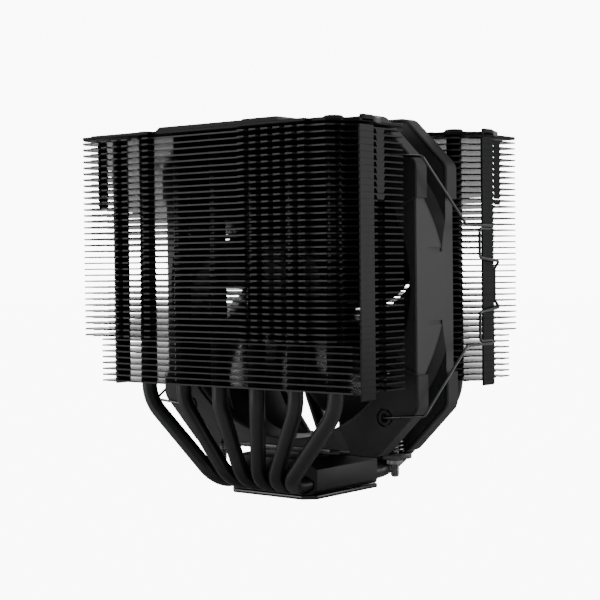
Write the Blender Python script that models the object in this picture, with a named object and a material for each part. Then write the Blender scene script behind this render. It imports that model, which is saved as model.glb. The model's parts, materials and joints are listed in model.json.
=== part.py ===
"""Dual-tower CPU cooler with one middle fan held by wire clips.

X runs along the fins' long side, Y is the airflow from the front tower to the rear one, +Z is up.
The origin is the centre of the cold plate's contact face. Units are metres.
"""
import math

import bmesh
import bpy
from mathutils import Vector

# Fits
GAP = 0.0003
PIPE_FIT = 0.0003
RUN_GAP = 0.0012

# Fins: the outline is given from the tower's front edge line backwards
FIN_HALF_WIDTH = 0.068
FIN_DEPTH = 0.0443
FIN_THICKNESS = 0.0008
FIN_PITCH = 0.005
FIN_CORNER = 0.004
TOOTH_DEPTH = 0.0027
TOOTH_ZONE_MARGIN = 0.004
LOWER_FIN_COUNT = 4
UPPER_FIN_COUNT = 17
LOWEST_FIN_Z = 0.0474
LOWER_FRONT_CUT = 0.0123
LOWER_REAR_CUT = 0.006
TOP_PLATE_THICKNESS = 0.001
TOP_PLATE_GAP = 0.0008

# Folded tab posts at both ends of the fins: near the front on the right, as far from the rear on the left
POST_REACH = 0.0043
POST_START = 0.0104
POST_WIDTH = 0.0086

# Heat pipes
PIPE_COUNT = 6
PIPE_RADIUS = 0.0032
PIPE_PITCH = 0.020
PIPE_ROW = 0.0236
PIPE_ELBOW_REACH = 0.010
PIPE_RISE_Z = 0.038
ELBOW_RADIUS = 0.0100
SHOULDER_RADIUS = 0.014
BEND_STEPS = 5

# Base
PLATE_HALF_Y = 0.0255
PLATE_THICKNESS = 0.0016
BLOCK_FLOOR = 0.0006
BLOCK_RIB = 0.0004
BLOCK_SIDE_WALL = 0.0010
BLOCK_ROOF = 0.0069
BLOCK_SHOULDER = 0.0042
BLOCK_FOOT = 0.0017
BLOCK_CORNER = 0.0045

# Mounting bar and its spring screws
BAR_THICKNESS = 0.0022
BAR_HALF_WIDTH = 0.0070
BAR_WAIST_HALF = 0.0050
SCREW_SPACING = 0.094
BAR_END_RADIUS = 0.0070
SCREW_HOLE_RADIUS = 0.0024
SCREW_SHANK_RADIUS = 0.0019
SCREW_NECK_RADIUS = 0.0014
SCREW_HEAD_RADIUS = 0.0046
SCREW_HEAD_HEIGHT = 0.0030
SCREW_TIP_LENGTH = 0.0060
SPRING_HEIGHT = 0.0066
SPRING_WIRE = 0.0004
SPRING_RADIUS = 0.0035
SPRING_TURNS = 4
RING_RADIUS = 0.0036
RING_THICKNESS = 0.0009
BAR_FIXING_SPACING = 0.026
FIXING_HEAD_RADIUS = 0.0027
FIXING_SHANK_RADIUS = 0.0014
FIXING_LENGTH = 0.0062

# Fan
FAN_HALF = 0.0675
FAN_CORNER = 0.0190
FAN_DEPTH = 0.0270
FLANGE_THICKNESS = 0.0058
PAD_THICKNESS = 0.0010
PAD_REACH = 0.0300
PAD_BORE_MARGIN = 0.0020
DUCT_SWELL = 0.0014
DUCT_WALL = 0.0049
FAN_HOLE_INSET = 0.0150
FAN_HOLE_RADIUS = 0.0026
FAN_FLOOR_GAP = 0.0008
FRONT_TOWER_GAP = 0.0078
REAR_TOWER_GAP = 0.0006
HUB_RADIUS = 0.0215
HUB_DEPTH = 0.0150
HUB_WALL = 0.0014
HUB_SET_BACK = 0.0010
BLADE_COUNT = 9
BLADE_THICKNESS = 0.0012
BLADE_TIP_GAP = 0.0016
BLADE_SPANS = 3
BLADE_CHORDS = 3
BLADE_SWEEP = math.radians(26)
BLADE_CHORD_ANGLE = math.radians(30)
MOTOR_CUP_RADIUS = 0.0210
MOTOR_CUP_DEPTH = 0.0040
STRUT_COUNT = 4
STRUT_WIDTH = 0.0042
MAGNET_THICKNESS = 0.0016
STATOR_RADIUS = 0.0155
BOARD_THICKNESS = 0.0010
BEARING_RADIUS = 0.0042
SHAFT_RADIUS = 0.0015

# Wire clips
WIRE_RADIUS = 0.0009
WIRE_BEND = 0.0022
CLIP_STUB = 0.0045
CLIP_SIDE_GAP = 0.0011
CLIP_RUN_LEAD = 0.0052
CLIP_MEET_HEIGHT = 0.0255
CLIP_HOOK_HALF = 0.0100
CLIP_STEP = 0.0035
HOOK_SET_BACK = 0.0045
HOOK_INSET = 0.0016

# Places that follow from the sizes above
BLOCK_LOW = PLATE_THICKNESS + GAP
PIPE_BORE = PIPE_RADIUS + PIPE_FIT
BASE_PIPE_Z = BLOCK_LOW + BLOCK_FLOOR + PIPE_BORE
BASE_PIPE_PITCH = 2 * PIPE_BORE + BLOCK_RIB
PLATE_HALF_X = (PIPE_COUNT - 1) / 2 * BASE_PIPE_PITCH + PIPE_BORE + BLOCK_SIDE_WALL
BLOCK_TOP = BASE_PIPE_Z + PIPE_BORE + BLOCK_ROOF
BAR_BOTTOM = BLOCK_TOP + GAP
BAR_TOP = BAR_BOTTOM + BAR_THICKNESS
SCREW_X = SCREW_SPACING / 2
SCREW_HEAD_BOTTOM = BAR_TOP + SPRING_HEIGHT + 2 * GAP
SCREW_HEAD_TOP = SCREW_HEAD_BOTTOM + SCREW_HEAD_HEIGHT
DUCT_OUTER_RADIUS = FAN_HALF + DUCT_SWELL
FAN_BORE_RADIUS = DUCT_OUTER_RADIUS - DUCT_WALL
DUCT_DROP = math.sqrt(DUCT_OUTER_RADIUS ** 2 - (SCREW_X - SCREW_HEAD_RADIUS) ** 2)
FAN_CENTRE_Z = max(BAR_TOP + FAN_FLOOR_GAP + FAN_HALF, SCREW_HEAD_TOP + RUN_GAP + DUCT_DROP)
FAN_FACE = FAN_DEPTH / 2
PAD_FACE = FAN_FACE + GAP + PAD_THICKNESS
FRONT_TOWER_Y = -PAD_FACE - FRONT_TOWER_GAP - FIN_DEPTH
REAR_TOWER_Y = PAD_FACE + REAR_TOWER_GAP + TOOTH_DEPTH
UPPER_FIN_Z = LOWEST_FIN_Z + LOWER_FIN_COUNT * FIN_PITCH
TOP_FIN_Z = UPPER_FIN_Z + (UPPER_FIN_COUNT - 1) * FIN_PITCH
TOP_PLATE_Z = TOP_FIN_Z + FIN_THICKNESS + TOP_PLATE_GAP
POST_X = FIN_HALF_WIDTH + POST_REACH
HOLE_OFFSET = FAN_HALF - FAN_HOLE_INSET
CIRCLE = 2 * math.pi


def clear_scene():
    for item in list(bpy.data.objects):
        bpy.data.objects.remove(item, do_unlink=True)


def make_material(name, colour, metallic, roughness):
    material = bpy.data.materials.new(name)
    material.use_nodes = True
    shader = material.node_tree.nodes["Principled BSDF"]
    shader.inputs["Base Color"].default_value = (*colour, 1.0)
    shader.inputs["Metallic"].default_value = metallic
    shader.inputs["Roughness"].default_value = roughness
    return material


def place(name, data, material, location=(0.0, 0.0, 0.0), parent=None):
    """Put mesh or curve data into the scene as one named sub-part."""
    item = bpy.data.objects.new(name, data)
    item.location = location
    item.parent = parent
    data.materials.append(material)
    bpy.context.scene.collection.objects.link(item)
    return item


def to_mesh(name, work, smooth_angle=None):
    bmesh.ops.recalc_face_normals(work, faces=work.faces)
    mesh = bpy.data.meshes.new(name)
    work.to_mesh(mesh)
    work.free()
    if smooth_angle is not None:
        mesh.shade_smooth()
        mesh.set_sharp_from_angle(angle=smooth_angle)
    return mesh


def as_xy(u, v, w):
    return Vector((u, v, w))


def as_xz(u, v, w):
    return Vector((u, w, v))


def ring_points(radius, count, centre=(0.0, 0.0), turn=0.5):
    """Regular polygon around a centre; turn shifts it by a share of one side."""
    angles = [CIRCLE * (i + turn) / count for i in range(count)]
    return [(centre[0] + radius * math.cos(a), centre[1] + radius * math.sin(a)) for a in angles]


def fill_loops(work, loops):
    edges = [edge for loop in loops for edge in loop]
    bmesh.ops.triangle_fill(work, use_beauty=True, use_dissolve=False, edges=edges)


def add_loop(work, points, level, axes):
    verts = [work.verts.new(axes(u, v, level)) for u, v in points]
    edges = [work.edges.new((verts[i - 1], verts[i])) for i in range(len(verts))]
    return verts, edges


def prism(name, outline, low, high, holes=(), axes=as_xy, smooth_angle=None):
    """Extrude a flat outline with holes between two levels along the third axis."""
    work = bmesh.new()
    rims = []
    for level in (low, high):
        loops = [add_loop(work, points, level, axes) for points in (outline, *holes)]
        fill_loops(work, [edges for _, edges in loops])
        rims.append([verts for verts, _ in loops])
    for lower, upper in zip(*rims):
        for i in range(len(lower)):
            work.faces.new((lower[i - 1], lower[i], upper[i], upper[i - 1]))
    return to_mesh(name, work, smooth_angle)


def lathe(name, profile, sides, axes=as_xy, smooth_angle=math.radians(40)):
    """Turn a closed profile of (radius, height) points; points on the axis close it off."""
    work = bmesh.new()
    rows = []
    for radius, height in profile:
        if radius <= 0.0:
            rows.append([work.verts.new(axes(0.0, 0.0, height))] * sides)
        else:
            rows.append([work.verts.new(axes(u, v, height)) for u, v in ring_points(radius, sides)])
    for row, after in zip(rows, rows[1:] + rows[:1]):
        for i in range(sides):
            corners = [row[i - 1], row[i], after[i], after[i - 1]]
            unique = list(dict.fromkeys(corners))
            if len(unique) > 2:
                work.faces.new(unique)
    return to_mesh(name, work, smooth_angle)


def cutter(name, mesh, location=(0.0, 0.0, 0.0)):
    item = bpy.data.objects.new(name, mesh)
    item.location = location
    item.hide_render = True
    item.display_type = 'WIRE'
    bpy.context.scene.collection.objects.link(item)
    return item


def combine(item, other, operation):
    modifier = item.modifiers.new(other.name, 'BOOLEAN')
    modifier.object = other
    modifier.operation = operation
    modifier.solver = 'EXACT'


def rounded_path(corners, radii, steps):
    """Replace each inner corner of a polyline by an arc of the given radius."""
    points = [Vector(corners[0])]
    for before, corner, after, radius in zip(corners, corners[1:], corners[2:], radii):
        corner = Vector(corner)
        back = (Vector(before) - corner).normalized()
        ahead = (Vector(after) - corner).normalized()
        half = back.angle(ahead) / 2
        bisector = (back + ahead).normalized()
        centre = corner + bisector * (radius / math.sin(half))
        first = corner + back * (radius / math.tan(half)) - centre
        last = corner + ahead * (radius / math.tan(half)) - centre
        sweep = first.angle(last)
        for i in range(steps + 1):
            share = i / steps
            mix = first * math.sin((1 - share) * sweep) + last * math.sin(share * sweep)
            points.append(centre + mix / math.sin(sweep))
    points.append(Vector(corners[-1]))
    return points


def wire_curve(name, points, radius, resolution):
    """Round wire or pipe along the points, with filled ends."""
    curve = bpy.data.curves.new(name, 'CURVE')
    curve.dimensions = '3D'
    curve.bevel_depth = radius
    curve.bevel_resolution = resolution
    curve.use_fill_caps = True
    spline = curve.splines.new('POLY')
    spline.points.add(len(points) - 1)
    for target, point in zip(spline.points, points):
        target.co = (*point, 1.0)
    return curve


def pipe_xs(pitch):
    return [(i - (PIPE_COUNT - 1) / 2) * pitch for i in range(PIPE_COUNT)]


def post_span(side, front_cut=None):
    """Front and back of the post at the right (1) or left (-1) end, from the tower's front edge line."""
    start, end = POST_START, POST_START + POST_WIDTH
    if side < 0:
        start, end = FIN_DEPTH - end, FIN_DEPTH - start
    if front_cut is not None:
        start = max(start, front_cut + FIN_CORNER / 8)
    return start, end


def fin_outline(front_cut=None, rear_cut=0.0):
    """Outline of one fin, counter-clockwise, as seen from above and without its end tabs."""
    half = FIN_HALF_WIDTH
    rear = FIN_DEPTH - rear_cut
    tooth_half = half - FIN_CORNER - TOOTH_ZONE_MARGIN
    if front_cut is None:
        front = [(-tooth_half, -TOOTH_DEPTH), (tooth_half, -TOOTH_DEPTH)]
        front = [(-half, FIN_CORNER), (FIN_CORNER - half, 0.0), *front, (half - FIN_CORNER, 0.0), (half, FIN_CORNER)]
    else:
        front = [(-half, front_cut), (half, front_cut)]
    right = [(half, v) for v in (*post_span(1, front_cut), rear)]
    left = [(-half, v) for v in (rear, *reversed(post_span(-1, front_cut)))]
    return front + right + left


def stack_mesh(name, outline, spans, levels, thickness):
    """Stack of flat fins with square pipe holes, joined by a solid post at each end."""
    reach = PIPE_BORE
    square = [(-reach, -reach), (-reach, reach), (reach, reach), (reach, -reach)]
    holes = [[(x + u, PIPE_ROW + v) for u, v in square] for x in pipe_xs(PIPE_PITCH)]
    posts = [[(s * FIN_HALF_WIDTH, start), (s * POST_X, start), (s * POST_X, end), (s * FIN_HALF_WIDTH, end)]
             for s, (start, end) in spans]
    work = bmesh.new()
    previous = None
    for level in levels:
        for height in (level, level + thickness):
            loops = [add_loop(work, points, height, as_xy) for points in (outline, *holes)]
            fill_loops(work, [edges for _, edges in loops])
            rim = [verts for verts, _ in loops]
            at = {tuple(round(c, 6) for c in v.co[:2]): v for v in rim[0]}
            ends = []
            for corners in posts:
                ring = []
                for u, v in corners:
                    key = (round(u, 6), round(v, 6))
                    ring.append(at.get(key) or work.verts.new((u, v, height)))
                ends.append(ring)
            solid = height > level
            if solid:
                join_fin(work, previous, (rim, ends))
            elif previous:
                for lower, upper in zip(previous[1], ends):
                    bridge(work, lower, upper, range(4))
            if (not solid and level == levels[0]) or (solid and level == levels[-1]):
                for ring in ends:
                    work.faces.new(ring)
            previous = (rim, ends)
    return to_mesh(name, work)


def bridge(work, lower, upper, sides):
    for i in sides:
        work.faces.new((lower[i - 1], lower[i], upper[i], upper[i - 1]))


def join_fin(work, under, over):
    """Walls of one fin between its lower and upper face, open where the posts join on."""
    for lower, upper in zip(under[0][1:], over[0][1:]):
        bridge(work, lower, upper, range(len(lower)))
    shared = {frozenset((ring[0], ring[3])) for ring in under[1]}
    lower, upper = under[0][0], over[0][0]
    sides = [i for i in range(len(lower)) if frozenset((lower[i - 1], lower[i])) not in shared]
    bridge(work, lower, upper, sides)
    for lower, upper in zip(under[1], over[1]):
        bridge(work, lower, upper, range(1, 4))


def fin_levels(lowest, count):
    return [lowest + i * FIN_PITCH for i in range(count)]


def cover_bump(side):
    """Where the top plate widens to cover the post at one end, from front to back."""
    start, end = post_span(side)
    lead, tail = (POST_REACH, POST_REACH / 2) if side > 0 else (POST_REACH / 2, POST_REACH)
    return [(side * FIN_HALF_WIDTH, start - lead), (side * POST_X, start), (side * POST_X, end),
            (side * FIN_HALF_WIDTH, end + tail)]


def add_tower(side, tower_y, front_cut, rear_cut, paints):
    location = (0.0, tower_y, 0.0)
    for part, cuts, lowest, count in (("lower", (front_cut, rear_cut), LOWEST_FIN_Z, LOWER_FIN_COUNT),
                                      ("upper", (None, 0.0), UPPER_FIN_Z, UPPER_FIN_COUNT)):
        name = f"{side}_{part}_fins"
        spans = [(s, post_span(s, cuts[0])) for s in (1, -1)]
        mesh = stack_mesh(name, fin_outline(*cuts), spans, fin_levels(lowest, count), FIN_THICKNESS)
        place(name, mesh, paints["fin"], location)
    outline = fin_outline()
    split = outline.index((FIN_HALF_WIDTH, FIN_CORNER)) + 1
    ends = {s: cover_bump(s) for s in (1, -1)}
    cap = outline[:split] + ends[1] + [(FIN_HALF_WIDTH, FIN_DEPTH), (-FIN_HALF_WIDTH, FIN_DEPTH)] + ends[-1][::-1]
    name = f"{side}_top_plate"
    mesh = prism(name, cap, TOP_PLATE_Z, TOP_PLATE_Z + TOP_PLATE_THICKNESS)
    place(name, mesh, paints["top"], location)


def pipe_route(base_x, tower_x):
    """U route: down from the front tower, through the base and up into the rear tower."""
    elbow = PLATE_HALF_Y + PIPE_ELBOW_REACH
    front = FRONT_TOWER_Y + PIPE_ROW
    rear = REAR_TOWER_Y + PIPE_ROW
    end_z = TOP_PLATE_Z - GAP
    corners = [(tower_x, front, end_z), (tower_x, front, PIPE_RISE_Z), (base_x, -elbow, BASE_PIPE_Z),
               (base_x, elbow, BASE_PIPE_Z), (tower_x, rear, PIPE_RISE_Z), (tower_x, rear, end_z)]
    radii = [SHOULDER_RADIUS, ELBOW_RADIUS, ELBOW_RADIUS, SHOULDER_RADIUS]
    return rounded_path(corners, radii, BEND_STEPS)


def add_pipes(paints):
    for i, (base_x, tower_x) in enumerate(zip(pipe_xs(BASE_PIPE_PITCH), pipe_xs(PIPE_PITCH))):
        name = f"heat_pipe_{i + 1}"
        place(name, wire_curve(name, pipe_route(base_x, tower_x), PIPE_RADIUS, 2), paints["pipe"])


def cut_rectangle(half_x, half_y, corner):
    """Rectangle with its four corners cut off at 45 degrees."""
    quarter = [(half_x, half_y - corner), (half_x - corner, half_y)]
    top = quarter + [(-x, y) for x, y in reversed(quarter)]
    return top + [(-x, -y) for x, y in top]


def add_base(paints):
    foot = cut_rectangle(PLATE_HALF_X, PLATE_HALF_Y, BLOCK_CORNER)
    place("cold_plate", prism("cold_plate", foot, 0.0, PLATE_THICKNESS), paints["nickel"])
    half = PLATE_HALF_X
    section = [(half - BLOCK_FOOT, BLOCK_LOW), (half, BLOCK_LOW + BLOCK_FOOT),
               (half, BLOCK_TOP - BLOCK_SHOULDER), (half - BLOCK_SHOULDER, BLOCK_TOP)]
    section = section + [(-x, z) for x, z in reversed(section)]
    bore = PIPE_BORE / math.cos(math.pi / 8)
    holes = [ring_points(bore, 8, (x, BASE_PIPE_Z)) for x in pipe_xs(BASE_PIPE_PITCH)]
    mesh = prism("base_block", section, -PLATE_HALF_Y, PLATE_HALF_Y, holes, as_xz)
    block = place("base_block", mesh, paints["block"])
    plan = cutter("block_plan", prism("block_plan", foot, -BLOCK_LOW, BLOCK_TOP + BLOCK_LOW))
    combine(block, plan, 'INTERSECT')
    for side, x in (("left", -BAR_FIXING_SPACING / 2), ("right", BAR_FIXING_SPACING / 2)):
        depth = FIXING_LENGTH - BAR_THICKNESS
        profile = [(0.0, -depth), (FIXING_SHANK_RADIUS + GAP, -depth), (FIXING_SHANK_RADIUS + GAP, GAP), (0.0, GAP)]
        tapping = cutter(f"block_tapping_{side}", lathe("block_tapping", profile, 8), (x, 0.0, BLOCK_TOP))
        combine(block, tapping, 'DIFFERENCE')


def bar_outline():
    """Long bar, broad over the base, with a round lobe around each spring screw."""
    waist = BAR_WAIST_HALF
    centre = SCREW_X
    spread = math.asin(waist / BAR_END_RADIUS)
    steps = 8
    turns = [-math.pi + spread + (CIRCLE - 2 * spread) * i / steps for i in range(steps + 1)]
    lobe = [(centre + BAR_END_RADIUS * math.cos(t), BAR_END_RADIUS * math.sin(t)) for t in turns]
    broad = PLATE_HALF_X - BLOCK_SHOULDER
    right = [(broad, -BAR_HALF_WIDTH), (broad + BAR_HALF_WIDTH / 2, -waist), *lobe,
             (broad + BAR_HALF_WIDTH / 2, waist), (broad, BAR_HALF_WIDTH)]
    return right + [(-x, -y) for x, y in right]


def add_bar(paints):
    holes = [ring_points(SCREW_HOLE_RADIUS, 12, (s * SCREW_X, 0.0)) for s in (-1, 1)]
    bar = place("mounting_bar", prism("mounting_bar", bar_outline(), BAR_BOTTOM, BAR_TOP, holes), paints["steel"])
    head, shank = FIXING_HEAD_RADIUS, FIXING_SHANK_RADIUS
    sink = head - shank
    for side, x in (("left", -BAR_FIXING_SPACING / 2), ("right", BAR_FIXING_SPACING / 2)):
        profile = [(0.0, GAP), (head + 2 * GAP, GAP), (shank + GAP, -sink), (shank + GAP, -2 * BAR_THICKNESS),
                   (0.0, -2 * BAR_THICKNESS)]
        sinker = cutter(f"bar_sinker_{side}", lathe("bar_sinker", profile, 12), (x, 0.0, BAR_TOP))
        combine(bar, sinker, 'DIFFERENCE')
        tip = -FIXING_LENGTH + GAP
        profile = [(0.0, -GAP), (head - GAP, -GAP), (shank, -sink - GAP), (shank, tip), (0.0, tip)]
        name = f"bar_screw_{side}"
        place(name, lathe(name, profile, 12), paints["bright"], (x, 0.0, BAR_TOP))


def spring_points():
    """Helix from the bar's top face to the screw head, its ends kept clear of both."""
    rise = SPRING_HEIGHT - 2 * SPRING_WIRE
    count = SPRING_TURNS * 8
    points = []
    for i in range(count + 1):
        share = i / count
        angle = CIRCLE * SPRING_TURNS * share
        height = GAP + SPRING_WIRE + rise * share
        points.append(Vector((SPRING_RADIUS * math.cos(angle), SPRING_RADIUS * math.sin(angle), height)))
    return points


def add_spring_screws(paints):
    """Captive screws: the head sits on a spring, a ring under the bar keeps the screw in."""
    shank = SCREW_SHANK_RADIUS
    neck = RING_THICKNESS + 2 * GAP
    ring_top = BAR_BOTTOM - GAP
    tip = ring_top - neck - SCREW_TIP_LENGTH
    throat = SCREW_NECK_RADIUS
    profile = [(0.0, SCREW_HEAD_TOP), (SCREW_HEAD_RADIUS, SCREW_HEAD_TOP), (SCREW_HEAD_RADIUS, SCREW_HEAD_BOTTOM),
               (shank, SCREW_HEAD_BOTTOM), (shank, ring_top + GAP), (throat, ring_top), (throat, ring_top - neck),
               (shank, ring_top - neck), (shank, tip + shank / 2), (shank / 2, tip), (0.0, tip)]
    for side, x in (("left", -SCREW_X), ("right", SCREW_X)):
        name = f"spring_screw_{side}"
        axle = bpy.data.objects.new(f"{name}_axis", None)
        axle.location = (x, 0.0, 0.0)
        bpy.context.scene.collection.objects.link(axle)
        place(name, lathe(name, profile, 12), paints["bright"], parent=axle)
        name = f"screw_spring_{side}"
        place(name, wire_curve(name, spring_points(), SPRING_WIRE, 1), paints["bright"], (x, 0.0, BAR_TOP))
        name = f"retaining_ring_{side}"
        ring = [(throat + GAP, ring_top - GAP), (throat + GAP, ring_top - GAP - RING_THICKNESS),
                (RING_RADIUS, ring_top - GAP - RING_THICKNESS), (RING_RADIUS, ring_top - GAP)]
        place(name, lathe(name, ring, 12), paints["dark_steel"], parent=axle)


def fan_holes():
    return [(sx * HOLE_OFFSET, sz * HOLE_OFFSET) for sx in (-1, 1) for sz in (-1, 1)]


def add_fan_frame(paints, fan):
    """Eight-cornered frame: two flanges on a round duct, a motor cup and its struts."""
    plan = cut_rectangle(FAN_HALF, FAN_HALF, FAN_CORNER)
    bore = ring_points(FAN_BORE_RADIUS, 40)
    holes = [ring_points(FAN_HOLE_RADIUS, 10, centre) for centre in fan_holes()]
    mesh = prism("fan_frame", plan, -FAN_FACE, FAN_FACE, [bore, *holes], as_xz)
    frame = place("fan_frame", mesh, paints["fan"], parent=fan)
    inner = FAN_FACE - FLANGE_THICKNESS
    wide = ring_points(2 * FAN_HALF, 40)
    waist = prism("fan_waist", wide, -inner, inner, [ring_points(DUCT_OUTER_RADIUS, 40)], as_xz)
    waist_cutter = cutter("fan_waist", waist)
    waist_cutter.parent = fan
    combine(frame, waist_cutter, 'DIFFERENCE')
    cup_face = FAN_FACE - MOTOR_CUP_DEPTH
    seat = BEARING_RADIUS + GAP
    profile = [(seat, FAN_FACE), (MOTOR_CUP_RADIUS, FAN_FACE), (MOTOR_CUP_RADIUS, cup_face), (seat, cup_face)]
    cup = cutter("motor_cup", lathe("motor_cup", profile, 24, as_xz, None))
    cup.parent = fan
    for i in range(STRUT_COUNT):
        angle = CIRCLE * (i + 0.5) / STRUT_COUNT
        reach = (MOTOR_CUP_RADIUS * 0.8, (FAN_BORE_RADIUS + DUCT_OUTER_RADIUS) / 2)
        side = STRUT_WIDTH / 2
        flat = [(reach[0], -side), (reach[1], -side), (reach[1], side), (reach[0], side)]
        turned = [(u * math.cos(angle) - v * math.sin(angle), u * math.sin(angle) + v * math.cos(angle))
                  for u, v in flat]
        strut = cutter(f"motor_strut_{i + 1}", prism("motor_strut", turned, cup_face + GAP, FAN_FACE - GAP, (), as_xz))
        strut.parent = fan
        combine(cup, strut, 'UNION')
    combine(frame, cup, 'UNION')


def pad_outline(sx, sz):
    """Corner pad: follows the frame's cut corner and stops short of the round bore."""
    edge = FAN_HALF
    cut = edge - FAN_CORNER
    inner = edge - PAD_REACH
    reach = FAN_BORE_RADIUS + PAD_BORE_MARGIN
    start = math.asin(inner / reach)
    turns = [start + (math.pi / 2 - 2 * start) * i / 5 for i in range(6)]
    arc = [(reach * math.cos(t), reach * math.sin(t)) for t in turns]
    points = [(edge, inner), (edge, cut), (cut, edge), (inner, edge), *reversed(arc)]
    points = [(sx * x, sz * z) for x, z in points]
    return points if sx * sz > 0 else list(reversed(points))


def add_fan_pads(paints, fan):
    for face, low in (("front", -PAD_FACE), ("rear", FAN_FACE + GAP)):
        for (sx, sz) in ((-1, -1), (1, -1), (-1, 1), (1, 1)):
            name = f"{face}_pad_{'top' if sz > 0 else 'bottom'}_{'right' if sx > 0 else 'left'}"
            hole = ring_points(FAN_HOLE_RADIUS, 10, (sx * HOLE_OFFSET, sz * HOLE_OFFSET))
            mesh = prism(name, pad_outline(sx, sz), low, low + PAD_THICKNESS, [hole], as_xz)
            place(name, mesh, paints["pad"], parent=fan)


def blade_grid(root, tip):
    """One swept, twisted blade as rows of (radius, angle, axial) from root to tip and nose to tail."""
    rows = []
    for i in range(BLADE_SPANS + 1):
        share = i / BLADE_SPANS
        radius = root + (tip - root) * share
        chord = BLADE_CHORD_ANGLE * (1.15 - 0.3 * share)
        axial = HUB_DEPTH * (1.0 - 0.35 * share)
        row = []
        for j in range(BLADE_CHORDS + 1):
            along = j / BLADE_CHORDS - 0.5
            angle = BLADE_SWEEP * share * share + chord * along
            row.append((radius, angle, -axial * along))
        rows.append(row)
    return rows


def add_blades(work, turn, root, tip):
    rows = blade_grid(root, tip)
    sheets = []
    for side in (-0.5, 0.5):
        sheet = []
        for row in rows:
            sheet.append([work.verts.new((r * math.cos(a + turn), y + side * BLADE_THICKNESS, r * math.sin(a + turn)))
                          for r, a, y in row])
        sheets.append(sheet)
    count, width = len(rows), len(rows[0])
    for sheet in sheets:
        for i in range(count - 1):
            for j in range(width - 1):
                work.faces.new((sheet[i][j], sheet[i][j + 1], sheet[i + 1][j + 1], sheet[i + 1][j]))
    rim = [(i, 0) for i in range(count)] + [(count - 1, j) for j in range(1, width)]
    rim += [(i, width - 1) for i in range(count - 2, -1, -1)] + [(0, j) for j in range(width - 2, 0, -1)]
    for k in range(len(rim)):
        (a, b), (c, d) = rim[k - 1], rim[k]
        work.faces.new((sheets[0][a][b], sheets[0][c][d], sheets[1][c][d], sheets[1][a][b]))


def add_rotor(paints, rotor):
    """Hub cup with blades; its axis is the empty that carries it."""
    front = -FAN_FACE + HUB_SET_BACK
    rear = front + HUB_DEPTH
    inner = HUB_RADIUS - HUB_WALL
    face = front + HUB_WALL
    profile = [(0.0, front), (HUB_RADIUS, front), (HUB_RADIUS, rear), (inner, rear), (inner, face),
               (SHAFT_RADIUS + GAP, face), (SHAFT_RADIUS + GAP, face - HUB_WALL / 2), (0.0, face - HUB_WALL / 2)]
    hub = place("fan_rotor", lathe("fan_rotor", profile, 36, as_xz), paints["blade"], parent=rotor)
    tip = FAN_BORE_RADIUS * math.cos(math.pi / 40) - BLADE_TIP_GAP
    middle = (front + rear) / 2
    for i in range(BLADE_COUNT):
        work = bmesh.new()
        add_blades(work, CIRCLE * i / BLADE_COUNT, HUB_RADIUS - HUB_WALL * 0.6, tip)
        bmesh.ops.translate(work, verts=work.verts, vec=(0.0, middle, 0.0))
        blade = cutter(f"blade_{i + 1}", to_mesh("blade", work))
        blade.parent = rotor
        combine(hub, blade, 'UNION')
    outer = inner - GAP
    magnet = [(outer - MAGNET_THICKNESS, face + GAP), (outer, face + GAP), (outer, rear - GAP),
              (outer - MAGNET_THICKNESS, rear - GAP)]
    place("rotor_magnet", lathe("rotor_magnet", magnet, 24, as_xz), paints["magnet"], parent=rotor)
    end = FAN_FACE - HUB_WALL
    start = face - HUB_WALL / 2 + GAP
    shaft = [(0.0, start), (SHAFT_RADIUS, start), (SHAFT_RADIUS, end), (0.0, end)]
    place("fan_shaft", lathe("fan_shaft", shaft, 12, as_xz), paints["bright"], parent=rotor)


def add_motor(paints, fan):
    """What stands still inside the hub: the bearing, the coil pack and the circuit board."""
    face = -FAN_FACE + HUB_SET_BACK + HUB_WALL
    cup_face = FAN_FACE - MOTOR_CUP_DEPTH
    inner = SHAFT_RADIUS + GAP
    outer = BEARING_RADIUS
    front = face + RUN_GAP
    bearing = [(inner, front), (outer, front), (outer, FAN_FACE - GAP), (inner, FAN_FACE - GAP)]
    place("fan_bearing", lathe("fan_bearing", bearing, 16, as_xz), paints["bronze"], parent=fan)
    board_low = cup_face - GAP - BOARD_THICKNESS
    board = [(outer + GAP, board_low), (STATOR_RADIUS, board_low), (STATOR_RADIUS, cup_face - GAP),
             (outer + GAP, cup_face - GAP)]
    place("circuit_board", lathe("circuit_board", board, 24, as_xz), paints["board"], parent=fan)
    coil_high = board_low - GAP
    coil = [(outer + GAP, front), (STATOR_RADIUS, front), (STATOR_RADIUS, coil_high), (outer + GAP, coil_high)]
    place("motor_coils", lathe("motor_coils", coil, 24, as_xz), paints["copper"], parent=fan)


def clip_route(side):
    """Wire from the lower fan hole, back along the fan's side, behind the rear tower's post and up to the upper hole."""
    hole_x = HOLE_OFFSET
    face_y = -PAD_FACE - WIRE_RADIUS - GAP
    side_x = max(FAN_HALF, POST_X) + WIRE_RADIUS + CLIP_SIDE_GAP
    turn_y = face_y + 2 * WIRE_BEND + GAP
    start, end = post_span(side)
    hook_y = REAR_TOWER_Y + end + HOOK_SET_BACK
    run_y = REAR_TOWER_Y + start - WIRE_RADIUS - CLIP_SIDE_GAP - CLIP_RUN_LEAD
    hook_x = POST_X - HOOK_INSET
    low = [(hole_x, face_y + CLIP_STUB, -HOLE_OFFSET), (hole_x, face_y, -HOLE_OFFSET), (side_x, face_y, -HOLE_OFFSET),
           (side_x, turn_y, -HOLE_OFFSET), (side_x, run_y - CLIP_STEP * 2, -CLIP_MEET_HEIGHT),
           (side_x, run_y, -CLIP_MEET_HEIGHT), (side_x, run_y, -CLIP_HOOK_HALF - CLIP_STEP),
           (side_x, hook_y, -CLIP_HOOK_HALF), (hook_x, hook_y, -CLIP_HOOK_HALF + CLIP_STEP)]
    high = [(x, y, -z) for x, y, z in reversed(low)]
    return [(side * x, y, z) for x, y, z in low + high]


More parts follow.
